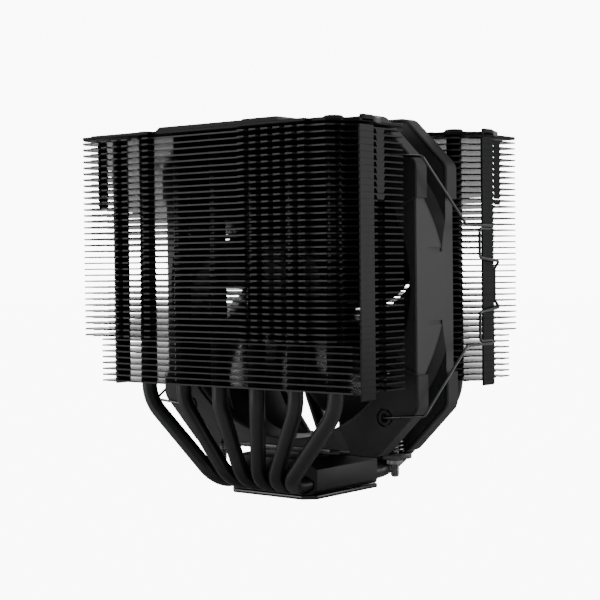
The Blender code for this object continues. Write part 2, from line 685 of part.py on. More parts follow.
def add_clips(paints, fan):
    """Each clip turns on the upright line through its two fan holes."""
    for name, side in (("wire_clip_left", -1), ("wire_clip_right", 1)):
        axis = Vector((side * HOLE_OFFSET, -PAD_FACE + CLIP_STUB / 3, 0.0))
        corners = [Vector(point) - axis for point in clip_route(side)]
        reach = [min((b - a).length, (c - b).length) for a, b, c in zip(corners, corners[1:], corners[2:])]
        turns = [(a - b).angle(c - b) for a, b, c in zip(corners, corners[1:], corners[2:])]
        radii = [min(WIRE_BEND, 0.45 * length * math.tan(turn / 2)) for length, turn in zip(reach, turns)]
        curve = wire_curve(name, rounded_path(corners, radii, 2), WIRE_RADIUS, 1)
        place(name, curve, paints["bright"], axis, fan)


def make_paints():
    return {
        "fin": make_material("fin_black", (0.022, 0.022, 0.024), 0.6, 0.42),
        "top": make_material("top_black", (0.03, 0.03, 0.032), 0.7, 0.3),
        "pipe": make_material("pipe_black", (0.03, 0.03, 0.033), 0.5, 0.35),
        "nickel": make_material("nickel_plate", (0.62, 0.6, 0.56), 1.0, 0.18),
        "block": make_material("block_black", (0.025, 0.025, 0.027), 0.5, 0.4),
        "steel": make_material("bar_black", (0.04, 0.04, 0.043), 0.8, 0.35),
        "dark_steel": make_material("ring_steel", (0.18, 0.18, 0.19), 1.0, 0.35),
        "bright": make_material("bright_steel", (0.75, 0.75, 0.76), 1.0, 0.2),
        "fan": make_material("fan_plastic", (0.045, 0.045, 0.048), 0.0, 0.5),
        "pad": make_material("pad_rubber", (0.015, 0.015, 0.016), 0.0, 0.8),
        "blade": make_material("blade_plastic", (0.03, 0.03, 0.032), 0.0, 0.45),
        "magnet": make_material("magnet_ferrite", (0.05, 0.045, 0.042), 0.1, 0.7),
        "bronze": make_material("bearing_bronze", (0.5, 0.34, 0.18), 1.0, 0.35),
        "board": make_material("board_green", (0.02, 0.09, 0.04), 0.0, 0.5),
        "copper": make_material("coil_copper", (0.6, 0.28, 0.14), 0.9, 0.4),
    }


def main():
    clear_scene()
    paints = make_paints()
    add_tower("front", FRONT_TOWER_Y, LOWER_FRONT_CUT, 0.0, paints)
    add_tower("rear", REAR_TOWER_Y, None, LOWER_REAR_CUT, paints)
    add_pipes(paints)
    add_base(paints)
    add_bar(paints)
    add_spring_screws(paints)
    fan = bpy.data.objects.new("fan_axis", None)
    fan.location = (0.0, 0.0, FAN_CENTRE_Z)
    bpy.context.scene.collection.objects.link(fan)
    add_fan_frame(paints, fan)
    add_fan_pads(paints, fan)
    add_motor(paints, fan)
    add_rotor(paints, fan)
    add_clips(paints, fan)


main()
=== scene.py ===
import json
import math

import bmesh
import bpy
import numpy as np
from mathutils import Matrix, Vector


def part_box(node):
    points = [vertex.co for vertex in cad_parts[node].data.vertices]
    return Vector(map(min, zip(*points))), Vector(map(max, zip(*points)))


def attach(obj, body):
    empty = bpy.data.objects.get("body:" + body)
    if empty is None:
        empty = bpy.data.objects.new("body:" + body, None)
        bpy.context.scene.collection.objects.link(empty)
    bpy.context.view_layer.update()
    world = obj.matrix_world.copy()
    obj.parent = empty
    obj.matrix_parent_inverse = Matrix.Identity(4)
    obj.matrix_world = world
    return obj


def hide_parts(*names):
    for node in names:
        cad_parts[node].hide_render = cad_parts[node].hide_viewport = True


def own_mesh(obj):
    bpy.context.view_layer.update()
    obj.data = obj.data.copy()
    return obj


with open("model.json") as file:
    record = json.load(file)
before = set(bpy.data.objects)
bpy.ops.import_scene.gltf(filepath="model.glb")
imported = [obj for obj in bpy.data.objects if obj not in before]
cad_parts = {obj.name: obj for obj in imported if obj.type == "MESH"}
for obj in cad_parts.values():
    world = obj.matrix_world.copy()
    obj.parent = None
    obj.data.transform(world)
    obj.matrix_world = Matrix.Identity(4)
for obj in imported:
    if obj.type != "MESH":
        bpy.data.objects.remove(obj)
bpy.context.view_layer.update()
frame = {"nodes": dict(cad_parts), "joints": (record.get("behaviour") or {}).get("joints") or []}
box = {name: [np.array(corner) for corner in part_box(name)] for name in frame["nodes"]}
turnOnce = 2 * math.pi
print("frame loaded")


# joins (points, faces) surfaces into one mesh and points its faces outwards
def makeMesh(name, surfaces, sharpAngle=32):
    points, faces, start = [], [], 0
    for surfacePoints, surfaceFaces in surfaces:
        points.append(np.asarray(surfacePoints, float).reshape(-1, 3))
        faces += [[int(corner) + start for corner in face] for face in surfaceFaces]
        start += len(points[-1])
    mesh = bpy.data.meshes.new(name)
    mesh.from_pydata(np.concatenate(points).tolist(), [], faces)
    work = bmesh.new()
    work.from_mesh(mesh)
    bmesh.ops.recalc_face_normals(work, faces=work.faces)
    work.to_mesh(mesh)
    work.free()
    mesh.shade_smooth()
    mesh.set_sharp_from_angle(angle=math.radians(sharpAngle))
    return mesh


# puts a mesh into the scene as a piece that rides on a body and stands for CAD nodes
def addPiece(name, mesh, paint, body, stands=()):
    mesh.materials.clear()
    mesh.materials.append(paint)
    piece = bpy.data.objects.new(name, mesh)
    bpy.context.scene.collection.objects.link(piece)
    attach(piece, body)
    if stands:
        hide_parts(*stands)
    return piece


# quads between neighbouring rows and columns of a grid; either way may close on itself
def gridFaces(rows, columns, closeRows=False, closeColumns=False):
    i, j = np.meshgrid(np.arange(rows - (not closeRows)), np.arange(columns - (not closeColumns)), indexing="ij")
    below, beside = (i + 1) % rows, (j + 1) % columns
    corners = [i * columns + j, i * columns + beside, below * columns + beside, below * columns + j]
    return np.stack(corners, axis=-1).reshape(-1, 4).tolist()


def endCaps(rows, columns):
    return [list(range(columns)), list(range((rows - 1) * columns, rows * columns))]


def unit(vectors):
    return vectors / np.linalg.norm(vectors, axis=-1, keepdims=True)


# a closed profile carried along a path: each ring stands square to the path, both ends capped
def carry(path, profile, across):
    steps = unit(np.diff(path, axis=0))
    along = unit(np.concatenate([steps[:1], steps[:-1] + steps[1:], steps[-1:]]))
    side = unit(np.cross(along, np.asarray(across, float)))
    lift = np.cross(side, along)
    points = path[:, None] + profile[None, :, :1] * side[:, None] + profile[None, :, 1:] * lift[:, None]
    size = len(path), len(profile)
    return points.reshape(-1, 3), gridFaces(*size, False, True) + endCaps(*size)


# circle of a radius r: (r cos a, r sin a)
def circle(radius, sides, start=0.0):
    angle = start + turnOnce * np.arange(sides) / sides
    return np.stack([radius * np.cos(angle), radius * np.sin(angle)], axis=-1)


# (u, v) stays in the plane and w goes along the third axis: "z" lies flat, "y" stands upright
def toSpace(u, v, w, axis, centre):
    u, v, w = np.broadcast_arrays(u, v, w)
    parts = [u, v, w] if axis == "z" else [u, w, v]
    return np.stack(parts, axis=-1) + np.asarray(centre, float)


# a profile of (radius, height) turned about an axis; a loop closes on itself, others are capped
def turned(profile, sides, centre, axis="z", loop=False):
    profile = np.asarray(profile, float)
    ring = circle(1.0, sides, turnOnce / sides / 2)
    radius, height = profile[:, :1], profile[:, 1:]
    points = toSpace(radius * ring[:, 0], radius * ring[:, 1], height, axis, centre)
    faces = gridFaces(len(profile), sides, loop, True)
    return points.reshape(-1, 3), faces + ([] if loop else endCaps(len(profile), sides))


# moves a counter-clockwise outline inwards by a mitred distance
def insetOutline(outline, distance):
    step = unit(np.roll(outline, -1, axis=0) - outline)
    after = np.stack([step[:, 1], -step[:, 0]], axis=-1)
    before = np.roll(after, 1, axis=0)
    lean = 1 + (before * after).sum(axis=1, keepdims=True)
    return outline - distance * (before + after) / np.maximum(lean, 0.25)


# an outline built up ring by ring: each (inset, level) moves it inwards and along the axis
def raised(outline, rings, axis="z", centre=(0, 0, 0)):
    outline = np.asarray(outline, float)
    loops = [insetOutline(outline, inset) for inset, _ in rings]
    points = [toSpace(loop[:, 0], loop[:, 1], level, axis, centre) for loop, (_, level) in zip(loops, rings)]
    size = len(rings), len(outline)
    return np.concatenate(points), gridFaces(*size, False, True) + endCaps(*size)


# rings of a plate with both rims bevelled
def bevelled(low, high, bevel):
    return [(bevel, low), (0, low + bevel), (0, high - bevel), (bevel, high)]


# a polyline whose inner corners become arcs of the given radii
def roundedPath(corners, radii, steps):
    corners = np.asarray(corners, float)
    points = [corners[:1]]
    share = np.linspace(0, 1, steps + 1)[:, None]
    for before, corner, after, radius in zip(corners, corners[1:], corners[2:], radii):
        back, ahead = unit(before - corner), unit(after - corner)
        half = math.acos(float(np.clip(back @ ahead, -1, 1))) / 2
        centre = corner + unit(back + ahead) * radius / math.sin(half)
        first = corner + back * radius / math.tan(half) - centre
        last = corner + ahead * radius / math.tan(half) - centre
        sweep = math.acos(float(np.clip(unit(first) @ unit(last), -1, 1)))
        arc = first * np.sin((1 - share) * sweep) + last * np.sin(share * sweep)
        points.append(centre + arc / math.sin(sweep))
    points.append(corners[-1:])
    return np.concatenate(points)


# cuts shapes out of a mesh and gives back the finished mesh
def cutOut(mesh, cutters):
    piece = bpy.data.objects.new("cutting", mesh)
    bpy.context.scene.collection.objects.link(piece)
    tools = []
    for number, cutterMesh in enumerate(cutters):
        tool = bpy.data.objects.new(f"cutter{number}", cutterMesh)
        bpy.context.scene.collection.objects.link(tool)
        modifier = piece.modifiers.new(tool.name, "BOOLEAN")
        modifier.object = tool
        modifier.operation = "DIFFERENCE"
        tools.append(tool)
    bpy.context.view_layer.update()
    evaluated = piece.evaluated_get(bpy.context.evaluated_depsgraph_get())
    cut = bpy.data.meshes.new_from_object(evaluated)
    for item in [piece, *tools]:
        bpy.data.objects.remove(item)
    return cut


# a CAD node's own shape, welded and cleaned, with a small bevel on its edges
def softened(node, width, segments=2):
    mesh = bpy.data.meshes.new(node + "Soft")
    work = bmesh.new()
    work.from_mesh(frame["nodes"][node].data)
    bmesh.ops.remove_doubles(work, verts=work.verts, dist=1e-6)
    bmesh.ops.dissolve_limit(work, angle_limit=math.radians(1), verts=work.verts, edges=work.edges)
    sharp = [edge for edge in work.edges if edge.is_manifold and edge.calc_face_angle(0) > math.radians(28)]
    bmesh.ops.bevel(work, geom=sharp, offset=width, segments=segments, affect="EDGES", clamp_overlap=True,
                    profile=0.5)
    bmesh.ops.recalc_face_normals(work, faces=work.faces)
    work.to_mesh(mesh)
    work.free()
    mesh.shade_smooth()
    mesh.set_sharp_from_angle(angle=math.radians(32))
    return mesh


# a group's sockets from (name, kind, default) rows
def newGroup(name, inputs, outputs):
    group = bpy.data.node_groups.new(name, "ShaderNodeTree")
    kinds = {"value": "NodeSocketFloat", "colour": "NodeSocketColor", "vector": "NodeSocketVector"}
    for label, kind, default in inputs:
        socket = group.interface.new_socket(label, in_out="INPUT", socket_type=kinds[kind])
        if default is not None:
            socket.default_value = default
    for label, kind in outputs:
        group.interface.new_socket(label, in_out="OUTPUT", socket_type=kinds[kind])
    return group, group.nodes.new("NodeGroupInput"), group.nodes.new("NodeGroupOutput")


def addNode(tree, kind, **values):
    node = tree.nodes.new("ShaderNode" + kind)
    for key, value in values.items():
        setattr(node, key, value)
    return node


def mathNode(tree, operation, first, second):
    node = addNode(tree, "Math", operation=operation)
    for socket, value in zip(node.inputs, (first, second)):
        if isinstance(value, (int, float)):
            socket.default_value = value
        else:
            tree.links.new(value, socket)
    return node.outputs[0]


# noise read on stretched coordinates, as a value from 0 to 1
def noiseValue(tree, vector, scale, detail=3.0):
    noise = addNode(tree, "TexNoise")
    noise.inputs["Detail"].default_value = detail
    tree.links.new(vector, noise.inputs["Vector"])
    if isinstance(scale, (int, float)):
        noise.inputs["Scale"].default_value = scale
    else:
        tree.links.new(scale, noise.inputs["Scale"])
    return noise.outputs["Fac"]


# finishGrain: a base colour and roughness varied by a broad cloud and a fine grain, and the grain's height
def makeFinishGrain():
    inputs = [("Position", "vector", None), ("Colour", "colour", (0.02, 0.02, 0.02, 1)),
              ("Roughness", "value", 0.4), ("Grain scale", "value", 2500.0), ("Cloud scale", "value", 40.0),
              ("Colour spread", "value", 0.25), ("Roughness spread", "value", 0.15)]
    outputs = [("Colour", "colour"), ("Roughness", "value"), ("Height", "value")]
    group, given, result = newGroup("finishGrain", inputs, outputs)
    grain = noiseValue(group, given.outputs["Position"], given.outputs["Grain scale"], 2.0)
    cloud = noiseValue(group, given.outputs["Position"], given.outputs["Cloud scale"], 4.0)
    both = mathNode(group, "ADD", mathNode(group, "MULTIPLY", grain, 0.5), mathNode(group, "MULTIPLY", cloud, 0.5))
    swing = mathNode(group, "SUBTRACT", both, 0.5)
    wide = mathNode(group, "MULTIPLY", mathNode(group, "MULTIPLY", swing, 4.0), given.outputs["Colour spread"])
    gain = mathNode(group, "ADD", wide, 1.0)
    tint = addNode(group, "VectorMath", operation="SCALE")
    group.links.new(given.outputs["Colour"], tint.inputs[0])
    group.links.new(gain, tint.inputs["Scale"])
    group.links.new(tint.outputs[0], result.inputs["Colour"])
    half = mathNode(group, "MULTIPLY", swing, 2.0)
    shift = mathNode(group, "MULTIPLY", half, given.outputs["Roughness spread"])
    group.links.new(mathNode(group, "ADD", given.outputs["Roughness"], shift), result.inputs["Roughness"])
    group.links.new(grain, result.inputs["Height"])
    return group


# mask of cut edges: 1 where a sheet is cut through, so its face stands upright, and 0 on flat faces and past the
# reach; the paler colour laid there is partly bare cut metal and partly a painted highlight for the light the
# upright edges catch
def makeCutEdgeSheen():
    group, given, result = newGroup("cutEdgeSheen", [("Position", "vector", None), ("Reach", "value", 1.0)],
                                    [("Mask", "value")])
    normal = addNode(group, "NewGeometry")
    split, place = addNode(group, "SeparateXYZ"), addNode(group, "SeparateXYZ")
    group.links.new(normal.outputs["Normal"], split.inputs[0])
    group.links.new(given.outputs["Position"], place.inputs[0])
    upright = mathNode(group, "SUBTRACT", 1.0, mathNode(group, "ABSOLUTE", split.outputs["Z"], 0.0))
    inside = mathNode(group, "LESS_THAN", mathNode(group, "ABSOLUTE", place.outputs["X"], 0.0),
                      given.outputs["Reach"])
    group.links.new(mathNode(group, "MULTIPLY", upright, inside), result.inputs["Mask"])
    return group


# dustFall: a thin patchy film on faces that look up, from 0 to 1
def makeDustFall():
    group, given, result = newGroup("dustFall", [("Position", "vector", None), ("Scale", "value", 60.0),
                                                 ("Amount", "value", 0.1)], [("Mask", "value")])
    normal = addNode(group, "NewGeometry")
    split = addNode(group, "SeparateXYZ")
    group.links.new(normal.outputs["Normal"], split.inputs[0])
    facing = mathNode(group, "MAXIMUM", split.outputs["Z"], 0.0)
    patches = noiseValue(group, given.outputs["Position"], given.outputs["Scale"], 5.0)
    share = mathNode(group, "MULTIPLY", mathNode(group, "MULTIPLY", facing, patches), given.outputs["Amount"])
    group.links.new(share, result.inputs["Mask"])
    return group


finishGrain, cutEdgeSheen, dustFall = makeFinishGrain(), makeCutEdgeSheen(), makeDustFall()
# cut edges get their paler colour, partly bare metal and partly painted highlight, only within this half width, so
# the folded tabs stay dark
wearAndSheen = {"edgeHalf": 0.0665, "dustColour": (0.35, 0.34, 0.32)}


# a material on the grain group; stretch squeezes the pattern, edge paints cut edges paler, partly as bare metal and
# partly as a painted highlight, dust adds a film
def makePaint(name, colour, roughness, metallic=0.0, grain=2500.0, cloud=40.0, colourSpread=0.2,
              roughSpread=0.12, bump=0.15, bumpDepth=0.00003, stretch=(1, 1, 1), coat=0.0,
              coatRoughness=0.3, specular=0.5, edge=None, dust=0.0):
    paint = bpy.data.materials.new(name)
    paint.use_nodes = True
    tree = paint.node_tree
    shader = tree.nodes["Principled BSDF"]
    place = addNode(tree, "TexCoord")
    mapping = addNode(tree, "Mapping")
    mapping.inputs["Scale"].default_value = stretch
    tree.links.new(place.outputs["Object"], mapping.inputs["Vector"])
    finish = addNode(tree, "Group", node_tree=finishGrain)
    tree.links.new(mapping.outputs["Vector"], finish.inputs["Position"])
    settings = {"Colour": (*colour, 1), "Roughness": roughness, "Grain scale": grain, "Cloud scale": cloud,
                "Colour spread": colourSpread, "Roughness spread": roughSpread}
    for label, value in settings.items():
        finish.inputs[label].default_value = value
    colourOut = finish.outputs["Colour"]
    masks = []
    if edge:
        # the edge colour is partly bare cut metal and partly a painted highlight on the upright edges
        cut = addNode(tree, "Group", node_tree=cutEdgeSheen)
        cut.inputs["Reach"].default_value = wearAndSheen["edgeHalf"]
        tree.links.new(place.outputs["Object"], cut.inputs["Position"])
        masks.append((cut.outputs["Mask"], edge))
    if dust:
        film = addNode(tree, "Group", node_tree=dustFall)
        film.inputs["Amount"].default_value = dust
        tree.links.new(place.outputs["Object"], film.inputs["Position"])
        masks.append((film.outputs["Mask"], wearAndSheen["dustColour"]))
    for mask, overColour in masks:
        mix = addNode(tree, "Mix", data_type="RGBA")
        tree.links.new(mask, mix.inputs["Factor"])
        tree.links.new(colourOut, mix.inputs["A"])
        mix.inputs["B"].default_value = (*overColour, 1)
        colourOut = mix.outputs["Result"]
    tree.links.new(colourOut, shader.inputs["Base Color"])
    tree.links.new(finish.outputs["Roughness"], shader.inputs["Roughness"])
    lumps = addNode(tree, "Bump")
    lumps.inputs["Strength"].default_value = bump
    lumps.inputs["Distance"].default_value = bumpDepth
    tree.links.new(finish.outputs["Height"], lumps.inputs["Height"])
    tree.links.new(lumps.outputs["Normal"], shader.inputs["Normal"])
    shader.inputs["Metallic"].default_value = metallic
    shader.inputs["Coat Weight"].default_value = coat
    shader.inputs["Coat Roughness"].default_value = coatRoughness
    shader.inputs["Specular IOR Level"].default_value = specular
    return paint


paints = {
    # the fins' paler cut-edge colour stands partly for bare metal and partly for a painted highlight where the
    # front edges catch the light
    "fin": makePaint("finBlack", (0.009, 0.009, 0.010), 0.23, 0.0, 3000, 30, 0.2, 0.06, 0.04,
                     specular=0.12, edge=(0.055, 0.055, 0.057), dust=0.02),
    "top": makePaint("coverBlack", (0.008, 0.008, 0.009), 0.38, 0.0, 2500, 25, roughSpread=0.08, specular=0.12),
    "pipe": makePaint("pipeBlack", (0.013, 0.013, 0.014), 0.34, 0.2, 2200, 60, bump=0.25, coat=0.2),
    "nickel": makePaint("plateNickel", (0.10, 0.097, 0.092), 0.26, 1.0, 900, 20, 0.06, 0.08, 0.3, 0.00002,
                        (1, 14, 1)),
    "block": makePaint("blockBlack", (0.010, 0.010, 0.011), 0.36, 0.1, 2600, 30, bump=0.3),
    "bar": makePaint("barBlack", (0.090, 0.090, 0.093), 0.24, 0.8, 2400, 40, bump=0.2),
    "bright": makePaint("brightSteel", (0.36, 0.36, 0.37), 0.14, 1.0, 1800, 80, 0.08, 0.08, 0.15),
    "ring": makePaint("ringSteel", (0.32, 0.32, 0.33), 0.18, 1.0, 1800, 80, 0.1, 0.08, 0.15),
    "clip": makePaint("clipSteel", (0.10, 0.10, 0.105), 0.24, 1.0, 1800, 80, 0.1, 0.08, 0.15),
    "fan": makePaint("fanGrey", (0.038, 0.038, 0.040), 0.50, 0.0, 3200, 35, 0.12, 0.10, 0.35, dust=0.02),
    "pad": makePaint("padRubber", (0.024, 0.024, 0.025), 0.62, 0.0, 3600, 45, 0.15, 0.08, 0.4),
    "blade": makePaint("bladeBlack", (0.011, 0.011, 0.012), 0.42, 0.0, 2600, 30, 0.12, 0.1, 0.2),
    "magnet": makePaint("ferriteGrey", (0.05, 0.046, 0.043), 0.7, 0.1, 1800, 60, 0.3, 0.1, 0.5),
    "bronze": makePaint("bearingBronze", (0.48, 0.32, 0.17), 0.36, 1.0, 2200, 90, 0.2, 0.12, 0.4),
    "board": makePaint("boardGreen", (0.02, 0.09, 0.04), 0.42, 0.0, 1500, 120, 0.25, 0.1, 0.2, coat=0.5),
    "copper": makePaint("coilCopper", (0.55, 0.26, 0.12), 0.34, 0.9, 1200, 200, 0.3, 0.12, 0.7, 0.00008,
                        (1, 9, 1)),
}
for slotName, names in {"bronze": ["fan_bearing"], "board": ["circuit_board"], "copper": ["motor_coils"],
                        "magnet": ["rotor_magnet"], "bright": ["fan_shaft"]}.items():
    for name in names:
        data = frame["nodes"][name].data
        data.materials.clear()
        data.materials.append(paints[slotName])
print("materials made")

# fins: x across, v back from the tower's front line; the left end is the right end turned half round
fin = {"pitch": 0.0025, "sheet": 0.0006, "half": 0.068, "toothDepth": 0.0027, "toothStart": 0.0237,
       "toothPitch": 0.00588, "toothWidth": 0.0033, "teeth": 6, "corner": (0.0038, 0.0046), "tab": (0.0104, 0.0190),
       "tabPlate": 0.00045, "tabLead": 0.0034, "tabTail": 0.0025, "slot": (0.0272, 0.0318),
       "slotDepth": 0.005, "lugs": 11, "lugSheet": 0.0004, "lugSpan": (0.0263, 0.0324),
       "lugDrop": (0.0022, 0.0017), "cutHalf": 0.0669, "joint": 0.00013, "lap": 0.00035}
depth = box["rear_upper_fins"][1][1] - box["rear_upper_fins"][0][1] - fin["toothDepth"]
tabFace = box["rear_upper_fins"][1][0]
towerFront = {side: box[f"{side}_upper_fins"][0][1] + fin["toothDepth"] for side in ("front", "rear")}
lowerFrontCut = box["front_lower_fins"][0][1] - towerFront["front"]
lowerRearCut = towerFront["rear"] + depth - box["rear_lower_fins"][1][1]


# the right end from front to back: tab shoulder, then the clip slot
def finEnd(slotted=True):
    half, reach = fin["half"], tabFace - fin["tabPlate"]
    start, end = fin["tab"]
    points = [(half, start - fin["tabLead"]), (reach, start), (reach, end), (half, end + fin["tabTail"])]
    if slotted:
        first, last = fin["slot"]
        inner = half - fin["slotDepth"]
        points += [(half, first), (inner, first), (inner, last), (half, last)]
    return np.array(points)


# half turn of an end about the middle of the fin
def turnHalf(points):
    return np.array([0, depth]) - points


# square teeth on the right half of the front edge: four corners each
def toothRow():
    start = fin["toothStart"] + fin["toothPitch"] * np.arange(fin["teeth"])[:, None]
    across = start + np.array([0, 0, fin["toothWidth"], fin["toothWidth"]])
    out = np.broadcast_to([0, -fin["toothDepth"], -fin["toothDepth"], 0], across.shape)
    return np.stack([across, out], axis=-1).reshape(-1, 2)


def finOutline(kind):
    half = fin["half"]
    right, left = finEnd(kind != "top"), turnHalf(finEnd(kind != "top"))
    back = depth - (lowerRearCut if kind == "rearLower" else 0)
    if kind == "frontLower":
        cut, reach = lowerFrontCut, tabFace - fin["tabPlate"]
        right[0] = (reach - 0.0005, fin["tab"][0])
        left = left[:4]
        front = np.array([(-half, cut + 0.0011), (-fin["cutHalf"], cut), (fin["cutHalf"], cut)])
    else:
        corner = np.array([(half - fin["corner"][0], 0), (half, fin["corner"][1])])
        rightFront = np.concatenate([toothRow(), corner])
        front = np.concatenate([(rightFront * [-1, 1])[::-1], rightFront])
    rear = np.array([(half, back), (-half, back)])
    return np.concatenate([front, right, rear, left])


# the same flat sheet at every level, as one array: levels x two faces x outline
def finSheets(outline, levels):
    heights = levels[:, None] + np.array([0, fin["sheet"]])
    points = np.empty((len(levels), 2, len(outline), 3))
    points[..., :2] = outline
    points[..., 2] = heights[:, :, None]
    count = len(outline)
    one = gridFaces(2, count, False, True) + endCaps(2, count)
    faces = [[corner + 2 * count * level for corner in face] for level in range(len(levels)) for face in one]
    return points.reshape(-1, 3), faces


# small flat plates, one at each level: a four-sided shape in the plane of y and z with a thickness along x
def hangingPlates(levels, inner, outer, corners):
    corners = np.asarray(corners, float)
    points = np.empty((len(levels), 2, 4, 3))
    points[..., 0] = np.array([inner, outer])[None, :, None]
    points[..., 1] = corners[:, 0]
    points[..., 2] = levels[:, None, None] + corners[:, 1]
    one = gridFaces(2, 4, False, True) + endCaps(2, 4)
    faces = [[corner + 8 * level for corner in face] for level in range(len(levels)) for face in one]
    return points.reshape(-1, 3), faces


# tabs that fold down from each end of each sheet to the one below, with a lap behind each joint
def tabPlates(levels):
    top, low = fin["sheet"], fin["sheet"] + fin["joint"] - fin["pitch"]
    start, end = fin["tab"]
    surfaces = []
    for side, (first, last) in ((1, (start, end)), (-1, (depth - end, depth - start))):
        shape = np.array([(first, low), (last, low), (last, top), (first, top)])
        seat, lap = tabFace - fin["tabPlate"], fin["lap"]
        surfaces.append(hangingPlates(levels, side * seat, side * tabFace, shape))
        surfaces.append(hangingPlates(levels, side * (seat - lap), side * seat, shape - [0, lap]))
    return surfaces


# lugs that hang from the end edges of the upper sheets, narrower at their lower edge
def lugPlates(levels, drop):
    first, last = fin["lugSpan"]
    outer = fin["half"] - 0.0001
    surfaces = []
    for side, (start, end) in ((1, (first, last)), (-1, (depth - last, depth - first))):
        taper = 0.19 * (end - start)
        shape = [(start + taper, -drop), (end - taper, -drop), (end, 0.0002), (start, 0.0002)]
        surfaces.append(hangingPlates(levels, side * (outer - fin["lugSheet"]), side * outer, shape))
    return surfaces


pipe = {"radius": 0.0032, "elbow": 0.0355, "riseZ": 0.0395, "elbowRadius": 0.0100, "shoulderRadius": 0.0175,
        "steps": 16, "sides": 28}

# collars drawn up from each sheet round the pipes, under the next sheet
collar = {"radius": 0.0037, "height": 0.0012, "sides": 12, "wall": 0.0004}
pipeX = np.array([box[f"heat_pipe_{i}"][0 if i < 4 else 1][0] for i in range(1, 7)])
pipeRadius = pipe["radius"]
pipeX = pipeX - np.sign(pipeX) * pipeRadius
pipeRow = {"front": box["heat_pipe_1"][0][1] + pipeRadius, "rear": box["heat_pipe_1"][1][1] - pipeRadius}


def collarRings(levels, side):
    sides = collar["sides"]
    ring = circle(1.0, sides)
    profile = np.array([(collar["radius"], 0), (collar["radius"] - collar["wall"], collar["height"])])
    points = np.empty((len(levels), len(pipeX), 2, sides, 3))
    points[..., 0] = pipeX[None, :, None, None] + (profile[:, :1] * ring[:, 0])[None, None]
    points[..., 1] = (profile[:, :1] * ring[:, 1])[None, None] + pipeRow[side] - towerFront[side]
    points[..., 2] = levels[:, None, None, None] + fin["sheet"] + profile[:, 1][None, None, :, None]
    one = gridFaces(2, sides, False, True) + endCaps(2, sides)
    stride = 2 * sides
    count = len(levels) * len(pipeX)
    faces = [[corner + stride * number for corner in face] for number in range(count) for face in one]
    return points.reshape(-1, 3), faces


sheetCount = {"lower": 8, "upper": 33}
for side in ("front", "rear"):
    for part in ("lower", "upper"):
        node = f"{side}_{part}_fins"
        levels = box[node][0][2] + fin["pitch"] * np.arange(sheetCount[part])
        if part == "lower":
            surfaces = [finSheets(finOutline(side + "Lower"), levels)]
        else:
            lugged, plain = levels[-fin["lugs"]:], levels[:-fin["lugs"]]
            surfaces = [finSheets(finOutline("upper"), plain), finSheets(finOutline("top"), lugged),
                        *lugPlates(lugged[2:], fin["lugDrop"][0]), *lugPlates(lugged[:2], fin["lugDrop"][1])]
        surfaces += [*tabPlates(levels), collarRings(levels, side)]
        moved = [(points + [0, towerFront[side], 0], faces) for points, faces in surfaces]
        name = node.replace("_fins", "_fin_stack")
        addPiece(name, makeMesh(node, moved), paints["fin"], "cooler", [node])
print("fin stacks made")

# top covers: a thin plate, a raised middle panel, a cap over each tab column and a cap over each outer pipe
cover = {"bevel": 0.0003, "lift": 0.0004, "panelRise": 0.0017, "panelSlope": 0.0012, "capRise": 0.0015,
         "capSlope": 0.0005, "panelHalf": 0.0435, "panelSkew": 0.0220, "panelLeft": 0.0300, "panelRight": 0.0143,
         "tabLead": 0.0043, "tabTail": 0.0022, "tipRadius": 0.0040, "tipRise": 0.0031}


def coverOutline():
    half, (cornerX, cornerV), out = fin["half"], fin["corner"], -fin["toothDepth"]
    start = fin["toothStart"]
    end = start + fin["toothPitch"] * (fin["teeth"] - 1) + fin["toothWidth"]
    right = np.array([(start, 0), (start, out), (end, out), (end, 0), (half - cornerX, 0), (half, cornerV)])
    first, last = fin["tab"]
    bump = np.array([(half, first - cover["tabLead"]), (tabFace, first), (tabFace, last),
                     (half, last + cover["tabTail"])])
    front = np.concatenate([(right * [-1, 1])[::-1], right])
    return np.concatenate([front, bump, [(half, depth), (-half, depth)], turnHalf(bump)])


def addCovers(side):
    node = f"{side}_top_plate"
    low, high = box[node][0][2], box[node][1][2] + cover["lift"]
    out, skew, half = -fin["toothDepth"], cover["panelSkew"], cover["panelHalf"]
    notch = fin["toothStart"]
    panel = np.array([(-half, cover["panelLeft"]), (-skew, 0.0002), (notch, 0.0002), (notch, out + 0.0002),
                      (half, out + 0.0002), (half, cover["panelRight"]), (skew, depth - 0.0002),
                      (-half, depth - 0.0002)])
    first, last = fin["tab"]
    end = fin["half"]
    cap = np.array([(tabFace - 0.0006, first + 0.0004), (tabFace, first + 0.0014), (tabFace, last),
                    (end + 0.0012, last + 0.0070), (end, last + 0.0110), (end - 0.0035, last + 0.0113),
                    (end - 0.0035, last + 0.0066), (end + 0.0006, last - 0.0005)])
    rise, slope = high + cover["panelRise"], cover["panelSlope"]
    capRise, capSlope = high + cover["capRise"], cover["capSlope"]
    panelRings = [(0, low + 0.0004), (0, high + 0.0002), (slope, rise - 0.0003), (slope * 1.3, rise)]
    surfaces = [raised(coverOutline(), bevelled(low, high, cover["bevel"])), raised(panel, panelRings)]
    for shape in (cap, turnHalf(cap)):
        surfaces.append(raised(shape, [(0, low + 0.0004), (0, capRise - capSlope), (capSlope, capRise)]))
    for x in pipeX[[0, -1]]:
        tip, tipTop = cover["tipRadius"], high + cover["tipRise"]
        rim = [(tip, high - 0.0004), (tip, tipTop - 0.0006), (tip * 0.85, tipTop - 0.0001), (tip * 0.6, tipTop)]
        surfaces.append(turned(rim, 28, (x, pipeRow[side] - towerFront[side], 0)))
    moved = [(points + [0, towerFront[side], 0], faces) for points, faces in surfaces]
    addPiece(f"{side}_cover", makeMesh(node, moved), paints["top"], "cooler", [node])


for side in ("front", "rear"):
    addCovers(side)
print("covers made")

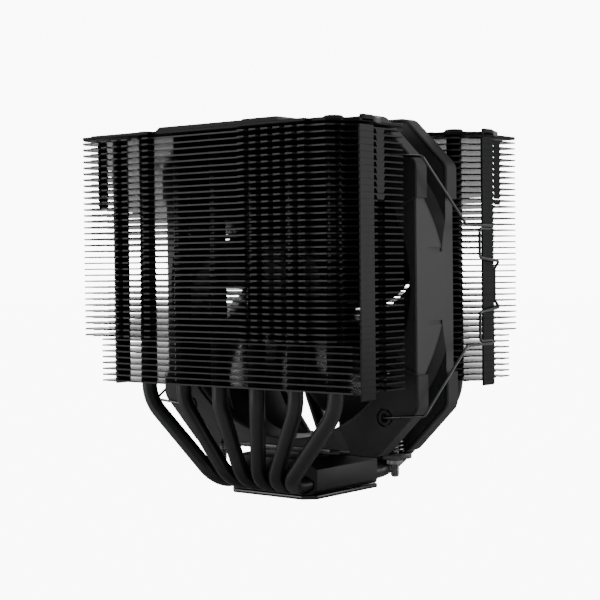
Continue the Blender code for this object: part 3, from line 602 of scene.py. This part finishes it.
# heat pipes: a round tube carried down one tower, under the base and up the other
for number in range(1, 7):
    node = f"heat_pipe_{number}"
    low, high = box[node]
    leftSide = number < 4
    towerX = low[0] + pipeRadius if leftSide else high[0] - pipeRadius
    baseX = high[0] - pipeRadius if leftSide else low[0] + pipeRadius
    baseZ, elbow = low[2] + pipeRadius, pipe["elbow"]
    front, rear = low[1] + pipeRadius, high[1] - pipeRadius
    bends = [pipe["shoulderRadius"], pipe["elbowRadius"]]
    route = roundedPath([(towerX, front, high[2]), (towerX, front, pipe["riseZ"]), (baseX, -elbow, baseZ),
                         (baseX, elbow, baseZ), (towerX, rear, pipe["riseZ"]), (towerX, rear, high[2])],
                        bends + bends[::-1], pipe["steps"])
    tube = carry(route, circle(pipeRadius, pipe["sides"]), (1, 0, 0))
    addPiece(f"pipe_{number}", makeMesh(node, [tube], 60), paints["pipe"], "cooler", [node])
print("pipes made")

# base, bar and small screws: the CAD shapes with softened edges
for node, name, slotName, width in (
        ("cold_plate", "contact_plate", "nickel", 0.00025), ("base_block", "block", "block", 0.0004),
        ("mounting_bar", "bar", "bar", 0.0006), ("bar_screw_left", "bar_fixing_left", "bright", 0.00015),
        ("bar_screw_right", "bar_fixing_right", "bright", 0.00015)):
    addPiece(name, softened(node, width), paints[slotName], "cooler", [node])
print("base made")

# spring screws: head with a hexagon socket, plain shank and a threaded tip
screw = {"shank": 0.0019, "headRise": 0.0030, "socket": 0.0016, "socketDepth": 0.0018, "bevel": 0.0004,
         "threadDepth": 0.00028, "threadPitch": 0.0006, "threadLength": 0.0058, "rows": 110, "around": 32}


# screw thread: the radius dips by a triangle wave of height along the pitch plus the angle
def threadSurface(x, low, high):
    height = np.linspace(low, high, screw["rows"])[:, None]
    angle = turnOnce * np.arange(screw["around"]) / screw["around"]
    phase = (height / screw["threadPitch"] - angle / turnOnce) % 1.0
    radius = screw["shank"] - screw["threadDepth"] * np.abs(2 * phase - 1)
    radius = radius * np.clip(0.55 + (height - low) / 0.0015, 0, 1)
    level = np.broadcast_to(height, radius.shape)
    points = np.stack([x + radius * np.cos(angle), radius * np.sin(angle), level], -1)
    rows, around = radius.shape
    return points.reshape(-1, 3), gridFaces(rows, around, False, True) + endCaps(rows, around)


coil = {"radius": 0.0035, "wire": 0.0004, "turns": 4.5, "steps": 150, "sides": 8, "rest": 0.5}


# spring wire: a helix whose first and last turns lie nearly flat
def coilPath(x, low, high):
    share = np.linspace(0, 1, coil["steps"])
    angle = turnOnce * coil["turns"] * share
    flat = 1 / coil["turns"]
    climb = np.clip((share - flat * coil["rest"]) / (1 - 2 * flat * coil["rest"]), 0, 1)
    radius = coil["radius"]
    return np.stack([x + radius * np.cos(angle), radius * np.sin(angle),
                     low + coil["wire"] + (high - low - 2 * coil["wire"]) * climb], axis=-1)


nut = {"radius": 0.0034, "bore": 0.0020, "height": 0.0018, "ribs": 24, "ribDepth": 0.00022}


# ribbed ring: the outer radius steps in and out round the ring
def ribbedRing(x, low, high):
    around = nut["ribs"] * 4
    angle = turnOnce * np.arange(around) / around
    rib = nut["ribDepth"] * (np.arange(around) % 4 < 2)
    outer = nut["radius"] - rib
    bore, soft = outer * 0 + nut["bore"], 0.0002
    rows = [(bore, low), (outer - soft, low), (outer, low + soft), (outer, high - soft), (outer - soft, high),
            (bore, high)]
    points = [np.stack([x + radius * np.cos(angle), radius * np.sin(angle), np.full(around, level)], -1)
              for radius, level in rows]
    return np.concatenate(points), gridFaces(len(rows), around, True, True)


for side in ("left", "right"):
    low, high = box[f"spring_screw_{side}"]
    x, head = (low[0] + high[0]) / 2, (high[0] - low[0]) / 2 + 0.00015
    under, top, bevel = high[2] - screw["headRise"], high[2], screw["bevel"]
    neck = low[2] + screw["threadLength"]
    socket, bottom = screw["socket"], top - screw["socketDepth"]
    rim = [(screw["shank"], neck - 0.0002), (screw["shank"], under), (head - bevel, under),
           (head, under + bevel), (head, top - bevel), (head - bevel, top), (socket + 0.0002, top),
           (socket, top - 0.0002), (socket, bottom), (0.0002, bottom - 0.0003)]
    surfaces = [turned(rim, 36, (x, 0, 0)), threadSurface(x, low[2], neck)]
    addPiece(f"thumb_screw_{side}", makeMesh("screw", surfaces), paints["bright"], f"screw_{side}",
             [f"spring_screw_{side}"])
    low, high = box[f"screw_spring_{side}"]
    wire = carry(coilPath(x, low[2], high[2]), circle(coil["wire"], coil["sides"]), (0, 0, 1))
    spring = addPiece(f"coil_spring_{side}", makeMesh("spring", [wire], 60), paints["bright"], "cooler",
                      [f"screw_spring_{side}"])
    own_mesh(spring)
    high = box[f"retaining_ring_{side}"][1]
    nutMesh = makeMesh("nut", [ribbedRing(x, high[2] - nut["height"], high[2])])
    addPiece(f"ribbed_nut_{side}", nutMesh, paints["ring"], f"ring_{side}", [f"retaining_ring_{side}"])
print("spring screws made")

# fan frame: for each angle the outer edge follows the eight-sided flange, or the waisted duct between
fan = {"corner": 0.019, "flange": 0.0058, "rim": 0.0005, "bore": 0.0640, "lip": 0.0007, "waist": 0.0690,
       "waistY": 0.0049, "frontFlare": 0.0756, "rearFlare": 0.0723, "sides": 180, "groove": 0.0138, "hole": 0.0026}
low, high = box["fan_frame"]
fanHalf, fanFace = (high[0] - low[0]) / 2, (high[1] - low[1]) / 2
fanCentre = (low + high) / 2
holeOffset = abs([j for j in frame["joints"] if j["name"] == "clip_right_swing"][0]["pos_m"][0])
holes = [(x, z) for x in (-holeOffset, holeOffset) for z in (-holeOffset, holeOffset)]


# the frame's eight-sided block, bevelled front and rear
def fanBlock():
    half, corner, rim = fanHalf, fanHalf - fan["corner"], fan["rim"]
    outline = [(half, -corner), (half, corner), (corner, half), (-corner, half), (-half, corner),
               (-half, -corner), (-corner, -half), (corner, -half)]
    return raised(outline, bevelled(-fanFace, fanFace, rim), "y", fanCentre)


# what is cut from the block between its flanges: everything outside the waisted duct
def recessRing():
    inner, outside = fanFace - fan["flange"], 1.4 * fanHalf
    waist = [(fan["frontFlare"] + 0.0003, -inner), (fan["frontFlare"], 0.0005 - inner),
             (fan["waist"], fan["waistY"]), (fan["rearFlare"] - 0.0004, inner - 0.0005),
             (fan["rearFlare"], inner)]
    return turned(waist + [(outside, inner), (outside, -inner)], fan["sides"], fanCentre, "y", True)


def boxAt(low, high):
    xs, ys, zs = zip(low, high)
    corners = np.array([(x, y, z) for x in xs for y in ys for z in zs])
    return corners, [(0, 1, 3, 2), (4, 6, 7, 5), (0, 4, 5, 1), (2, 3, 7, 6), (0, 2, 6, 4), (1, 5, 7, 3)]


# shallow grooves in the side walls beside each end of the duct's waist
def sideGroove(sx, sz):
    low = np.array([fanHalf - 0.0006, fan["waistY"] - 0.0094, fan["groove"]])
    high = np.array([fanHalf + 0.0010, fan["waistY"], fan["groove"] + 0.0016])
    points, faces = boxAt(low, high)
    return points * [sx, 1, sz] + fanCentre, faces


borePlug = [(fan["bore"] + fan["lip"] + 0.001, -fanFace - 0.001), (fan["bore"] + fan["lip"], -fanFace),
            (fan["bore"], fan["lip"] - fanFace), (fan["bore"], fanFace - fan["lip"]),
            (fan["bore"] + fan["lip"], fanFace), (fan["bore"] + fan["lip"] + 0.001, fanFace + 0.001)]
drills = [makeMesh("drill", [turned([(fan["hole"], -fanFace - 0.002), (fan["hole"], fanFace + 0.002)], 24,
                                    (x, fanCentre[1], fanCentre[2] + z), "y")]) for x, z in holes]
boreMesh = makeMesh("bore", [turned(borePlug, fan["sides"], fanCentre, "y")])
tools = [makeMesh("recess", [recessRing()]), boreMesh, *drills]
tools += [makeMesh("groove", [sideGroove(sx, sz)]) for sx in (-1, 1) for sz in (-1, 1)]
frameMesh = cutOut(makeMesh("fanFrame", [fanBlock()]), tools)
frameMesh.shade_smooth()
frameMesh.set_sharp_from_angle(angle=math.radians(20))
addPiece("fan_housing", frameMesh, paints["fan"], "fan", ["fan_frame"])

# motor cup on four struts across the rear face
motor = {"radius": 0.021, "depth": 0.004, "seat": 0.0045, "strutHalf": 0.0021, "strutInner": 0.0190,
         "strutOuter": 0.0655, "strutBend": 0.10, "bevel": 0.0006}


# strut: a bevelled bar carried outwards from the cup to the bore
def strut(angle):
    back = fanFace - 0.0004
    front = fanFace - motor["depth"] + 0.0006
    middle, halfDepth, side, bevel = (back + front) / 2, (back - front) / 2, motor["strutHalf"], motor["bevel"]
    profile = np.array([(side, halfDepth - bevel), (side - bevel, halfDepth), (bevel - side, halfDepth),
                        (-side, halfDepth - bevel), (-side, bevel - halfDepth), (bevel - side, -halfDepth),
                        (side - bevel, -halfDepth), (side, bevel - halfDepth)])
    reach = np.linspace(motor["strutInner"], motor["strutOuter"], 12)
    bend = motor["strutBend"] * (reach - reach[0]) / (reach[-1] - reach[0])
    path = np.stack([reach * np.cos(angle + bend), np.full(12, middle), reach * np.sin(angle + bend)], -1)
    return carry(path + fanCentre, profile, (0, 1, 0))


cupFront, bevel = fanFace - motor["depth"], motor["bevel"]
cupRim = [(motor["seat"], cupFront), (motor["radius"] - bevel, cupFront), (motor["radius"], cupFront + bevel),
          (motor["radius"], fanFace - bevel), (motor["radius"] - bevel, fanFace), (motor["seat"], fanFace)]
cup = [turned(cupRim, 64, fanCentre, "y", True)] + [strut(turnOnce * (i + 0.5) / 4) for i in range(4)]
addPiece("motor_cup", makeMesh("motorCup", cup), paints["fan"], "fan")

# corner pads: a front plate with a round hole for its grommet, and a band folded over the flange's edge
pad = {"reach": 0.0325, "wall": 0.0010, "wrap": 0.0009, "boreMargin": 0.0016, "hole": 0.0038,
       "grommet": 0.0031, "grommetHole": 0.0017, "bevel": 0.0003, "proud": 0.0004, "skirt": 0.0050,
       "cornerRound": 0.005}
padFace = box["front_pad_top_right"][0][1]
padDepth = abs(padFace) - fanFace


def padPlate(sx, sz, face):
    edge, cut = fanHalf + pad["wall"] * 0.6, fanHalf - fan["corner"] + pad["wall"] * 0.2
    inner, reach = fanHalf - pad["reach"], fan["bore"] + pad["boreMargin"]
    start = math.asin((inner - pad["skirt"]) / reach)
    angle = np.linspace(start, math.pi / 2 - start, 22)
    arc = reach * np.stack([np.cos(angle), np.sin(angle)], -1)
    outline = np.concatenate([[(edge, inner), (edge, cut), (cut, edge), (inner, edge)], arc[::-1]]) * [sx, sz]
    outline = outline if sx * sz > 0 else outline[::-1]
    levels = (face * (fanFace - 0.0001), face * (fanFace + padDepth))
    rings = [(0, levels[0]), (0, levels[1] - face * pad["bevel"]), (pad["bevel"], levels[1])]
    return raised(outline, rings, "y", fanCentre)


# the band follows the pad's outer edge over the flange's whole side and a little behind it
def padBand(sx, sz, face):
    wall, inner = pad["wall"], fanHalf - pad["reach"]
    edge, cut = fanHalf + wall / 2, fanHalf - fan["corner"] + wall * 0.2
    path = np.array([(edge, inner), (edge, cut), (cut, edge), (inner, edge)])
    path = np.column_stack([path[:, 0] * sx, path[:, 1] * 0, path[:, 1] * sz])
    path = roundedPath(path, [pad["cornerRound"]] * 2, 8)
    front, back = fanFace + padDepth, fanFace - fan["flange"] - pad["wrap"]
    halfDepth, halfWall, soft = (front - back) / 2, wall / 2 + 0.0002, 0.0005
    profile = np.array([(soft - halfWall, -halfDepth), (halfWall - soft, -halfDepth),
                        (halfWall, soft - halfDepth), (halfWall, halfDepth - soft),
                        (halfWall - soft, halfDepth), (soft - halfWall, halfDepth),
                        (-halfWall, halfDepth - soft), (-halfWall, soft - halfDepth)])
    path = path + fanCentre + [0, face * (front + back) / 2, 0]
    return carry(path, profile, (0, 1, 0))


for face, facing in (("front", -1), ("rear", 1)):
    for sx, across in ((-1, "left"), (1, "right")):
        for sz, height in ((-1, "bottom"), (1, "top")):
            node = f"{face}_pad_{height}_{across}"
            centre = fanCentre + [sx * holeOffset, 0, sz * holeOffset]
            span = [(pad["hole"], facing * (fanFace - 0.001)), (pad["hole"], facing * (fanFace + 0.004))]
            drill = makeMesh("drill", [turned(span, 28, centre, "y")])
            plate = cutOut(makeMesh(node, [padPlate(sx, sz, facing)]), [drill])
            work = bmesh.new()
            work.from_mesh(plate)
            work.from_mesh(makeMesh("band", [padBand(sx, sz, facing)]))
            work.to_mesh(plate)
            work.free()
            plate.shade_smooth()
            plate.set_sharp_from_angle(angle=math.radians(32))
            addPiece(node.replace("_pad_", "_corner_"), plate, paints["pad"], "fan", [node])
            outer, inner, top = pad["grommet"], pad["grommetHole"], fanFace + padDepth + pad["proud"] * 0.5
            rim = [(inner, fanFace - 0.003), (outer, fanFace - 0.003), (outer, top - 0.0003),
                   (outer - 0.0003, top), (inner + 0.0004, top), (inner, top - 0.0004)]
            rim = [(radius, facing * level) for radius, level in rim]
            grommet = makeMesh("grommet", [turned(rim, 32, centre, "y", True)])
            addPiece(f"grommet_{face}_{height}_{across}", grommet, paints["pad"], "fan")
print("fan frame made")

# rotor: a domed cup and swept blades
rotor = {"hub": 0.0215, "dome": 0.0022, "wall": 0.0014, "blades": 9, "thickness": 0.0011, "spans": 14,
         "chords": 12, "sweep": math.radians(26), "chord": math.radians(34), "tipGap": 0.0016,
         "camber": 0.0022, "shaft": 0.0019, "root": 0.0006}
low, high = box["fan_rotor"]
hubFront, hubRear = low[1], box["rotor_magnet"][1][1]
hubRadius = rotor["hub"]
dome = np.linspace(0, math.pi / 2, 9)
outerRim = [(hubRadius - rotor["dome"] * (1 - math.sin(a)), hubFront + rotor["dome"] * (1 - math.cos(a)))
            for a in dome]
inner = hubRadius - rotor["wall"]
hubRim = [(0.0004, hubFront)] + outerRim + [
    (hubRadius, hubRear), (inner, hubRear), (inner, hubFront + rotor["wall"]),
    (rotor["shaft"], hubFront + rotor["wall"]), (rotor["shaft"], hubFront + rotor["wall"] / 2),
    (0.0004, hubFront + rotor["wall"] / 2)]


# blade: radius runs along one parameter and the chord along the other; the tip sweeps forward and flattens
def bladeSurface(turn):
    tip = fan["bore"] - rotor["tipGap"]
    share = np.linspace(0, 1, rotor["spans"])[:, None]
    along = np.linspace(-0.5, 0.5, rotor["chords"])[None]
    root = hubRadius - rotor["root"]
    radius = root + (tip - root) * share + 0 * along
    angle = turn + rotor["sweep"] * share ** 2 + rotor["chord"] * (1.15 - 0.3 * share) * along
    axial = -(hubRear - hubFront) * (1.0 - 0.35 * share) * along - rotor["camber"] * (0.25 - along ** 2)
    middle = (hubFront + hubRear) / 2
    thick = rotor["thickness"] * np.sqrt(np.clip(1 - (2 * along) ** 2, 0.06, 1)) / 2
    sheets = [toSpace(radius * np.cos(angle), radius * np.sin(angle), middle + axial + face * thick, "y",
                      (fanCentre[0], 0, fanCentre[2])) for face in (1, -1)]
    rings = np.concatenate([sheets[0], sheets[1][:, ::-1]], axis=1)
    rows, columns = rings.shape[:2]
    return rings.reshape(-1, 3), gridFaces(rows, columns, False, True) + endCaps(rows, columns)


hub = [turned(hubRim, 72, (fanCentre[0], 0, fanCentre[2]), "y", True)]
hub += [bladeSurface(turnOnce * i / rotor["blades"]) for i in range(rotor["blades"])]
addPiece("fan_blades", makeMesh("fanBlades", hub, 40), paints["blade"], "rotor", ["fan_rotor"])
print("rotor made")

# wire clips: round wire from the lower fan hole, along the fan's side, behind the tab column and back up
clip = {"radius": 0.00060, "bend": 0.0016, "stub": 0.0045, "meet": (0.0244, 0.0232), "hook": 0.0092,
        "drop": 0.0112, "tip": 0.0037, "lead": 0.0048, "behind": 0.0018, "sides": 14, "steps": 7,
        "wireInCad": 0.0009}
for name, side in (("left", -1), ("right", 1)):
    low, high = box[f"wire_clip_{name}"]
    wire = clip["radius"]
    outX = max(abs(low[0]), abs(high[0])) - clip["wireInCad"]
    faceY = low[1] + clip["wireInCad"]
    tabStart = towerFront["rear"] + (fin["tab"][0] if side > 0 else depth - fin["tab"][1])
    tabEnd = tabStart + fin["tab"][1] - fin["tab"][0]
    inX, hookX = outX - 0.0006, tabFace - 0.0009
    upper, under = clip["meet"]
    lower = np.array([(holeOffset, faceY + clip["stub"], -holeOffset), (holeOffset, faceY, -holeOffset),
                      (outX - 0.0017, faceY, 0.0018 - holeOffset), (outX, tabStart - 0.0155, -upper),
                      (outX, tabStart + clip["tip"], -upper), (inX, tabStart + clip["tip"], -under),
                      (inX, tabStart - clip["lead"], -under), (inX, tabStart - clip["lead"], -clip["drop"]),
                      (inX, tabEnd + clip["behind"], -clip["hook"] - 0.0004),
                      (hookX, tabEnd + clip["behind"], 0.0025 - clip["hook"])])
    route = np.concatenate([lower, (lower * [1, 1, -1])[::-1]]) * [side, 1, 1] + [0, 0, fanCentre[2]]
    lengths = np.linalg.norm(np.diff(route, axis=0), axis=1)
    ways = unit(np.diff(route, axis=0))
    opening = math.pi - np.arccos(np.clip((ways[:-1] * ways[1:]).sum(axis=1), -1, 1))
    radii = np.minimum(clip["bend"], 0.45 * np.minimum(lengths[:-1], lengths[1:]) * np.tan(opening / 2))
    path = roundedPath(route, radii, clip["steps"])
    wireMesh = makeMesh("clip", [carry(path, circle(wire, clip["sides"]), (0.55 * side, -0.35, 0.76))], 60)
    addPiece(f"spring_clip_{name}", wireMesh, paints["clip"], f"clip_{name}", [f"wire_clip_{name}"])
print("clips made")

# floor, soft boxes and camera
stage = {"floorHalf": 3.0, "floorColour": (0.85, 0.85, 0.85), "shown": 10.0, "behind": 2.6, "around": 0.09,
         "backdrop": (-0.624, 0.781, 0.0)}
floorCorners = np.array([(-1, -1, 0), (1, -1, 0), (1, 1, 0), (-1, 1, 0)]) * stage["floorHalf"] - [0, 0, 0.0006]
floorPaint = makePaint("paleFloor", stage["floorColour"], 0.8, 0.0, 400, 4, 0.01, 0.02, 0.02)
floorMesh = bpy.data.meshes.new("floor")
floorMesh.from_pydata(floorCorners.tolist(), [], [[0, 1, 2, 3]])
floorMesh.materials.append(floorPaint)
floor = bpy.data.objects.new("floor", floorMesh)
bpy.context.scene.collection.objects.link(floor)
floorTree = floorPaint.node_tree
rays = addNode(floorTree, "LightPath")
glow = addNode(floorTree, "Emission")
glow.inputs["Strength"].default_value = stage["shown"]
blend = addNode(floorTree, "MixShader")
output = [node for node in floorTree.nodes if node.type == "OUTPUT_MATERIAL"][0]
floorTree.links.new(mathNode(floorTree, "MULTIPLY", rays.outputs["Is Camera Ray"], 0.98), blend.inputs["Fac"])
floorTree.links.new(floorTree.nodes["Principled BSDF"].outputs["BSDF"], blend.inputs[1])
floorTree.links.new(glow.outputs["Emission"], blend.inputs[2])
floorTree.links.new(blend.outputs["Shader"], output.inputs["Surface"])

world = bpy.data.worlds.new("studio")
bpy.context.scene.world = world
world.use_nodes = True
worldTree = world.node_tree
background = worldTree.nodes["Background"]
background.inputs["Color"].default_value = (1, 1, 1, 1)
seen = addNode(worldTree, "LightPath")
where = addNode(worldTree, "TexCoord")
toward = addNode(worldTree, "VectorMath", operation="DOT_PRODUCT")
toward.inputs[1].default_value = stage["backdrop"]
worldTree.links.new(where.outputs["Generated"], toward.inputs[0])
# the studio is bright behind the cooler and dark in front: strength grows with the cube of the backward part
ahead = mathNode(worldTree, "POWER", mathNode(worldTree, "MAXIMUM", toward.outputs["Value"], 0.0), 3.0)
lit = mathNode(worldTree, "ADD", mathNode(worldTree, "MULTIPLY", ahead, stage["behind"]), stage["around"])
direct = mathNode(worldTree, "MULTIPLY", seen.outputs["Is Camera Ray"], stage["shown"])
unseen = mathNode(worldTree, "SUBTRACT", 1.0, seen.outputs["Is Camera Ray"])
strength = mathNode(worldTree, "ADD", direct, mathNode(worldTree, "MULTIPLY", lit, unseen))
worldTree.links.new(strength, background.inputs["Strength"])


def addLight(name, place, target, size, power):
    data = bpy.data.lights.new(name, "AREA")
    data.shape = "RECTANGLE"
    data.size, data.size_y = size
    data.energy = power
    lamp = bpy.data.objects.new(name, data)
    lamp.location = place
    aim = np.array(target) - np.array(place)
    lamp.rotation_euler = (math.atan2(math.hypot(aim[0], aim[1]), -aim[2]), 0, math.atan2(-aim[0], aim[1]))
    bpy.context.scene.collection.objects.link(lamp)


heart = (0, 0, 0.08)
addLight("softLeft", (-0.75, -0.95, 0.35), heart, (0.7, 1.0), 7)
addLight("softRight", (0.95, 0.75, 0.40), heart, (0.7, 1.0), 5.6)
addLight("softTop", (0.10, -0.10, 1.10), heart, (1.2, 1.2), 3)
addLight("softFront", (0.85, -0.65, 0.55), heart, (0.5, 0.5), 0.6)

lens = {"azimuth": 38.627, "pitch": 1.343, "roll": -0.593, "focal": 90.19,
        "place": (0.40078, -0.50393, 0.09621)}
cameraData = bpy.data.cameras.new("camera")
cameraData.lens = lens["focal"]
cameraData.sensor_width = 36
cameraData.clip_start = 0.01
camera = bpy.data.objects.new("camera", cameraData)
a, p, r = (math.radians(lens[key]) for key in ("azimuth", "pitch", "roll"))
forward = np.array([-math.sin(a) * math.cos(p), math.cos(a) * math.cos(p), -math.sin(p)])
levelRight = np.array([math.cos(a), math.sin(a), 0])
levelUp = np.cross(levelRight, forward)
right = math.cos(r) * levelRight + math.sin(r) * levelUp
up = -math.sin(r) * levelRight + math.cos(r) * levelUp
matrix = np.eye(4)
matrix[:3, 0], matrix[:3, 1], matrix[:3, 2], matrix[:3, 3] = right, up, -forward, lens["place"]
camera.matrix_world = Matrix(matrix.tolist())
bpy.context.scene.collection.objects.link(camera)
bpy.context.scene.camera = camera
print("stage set")
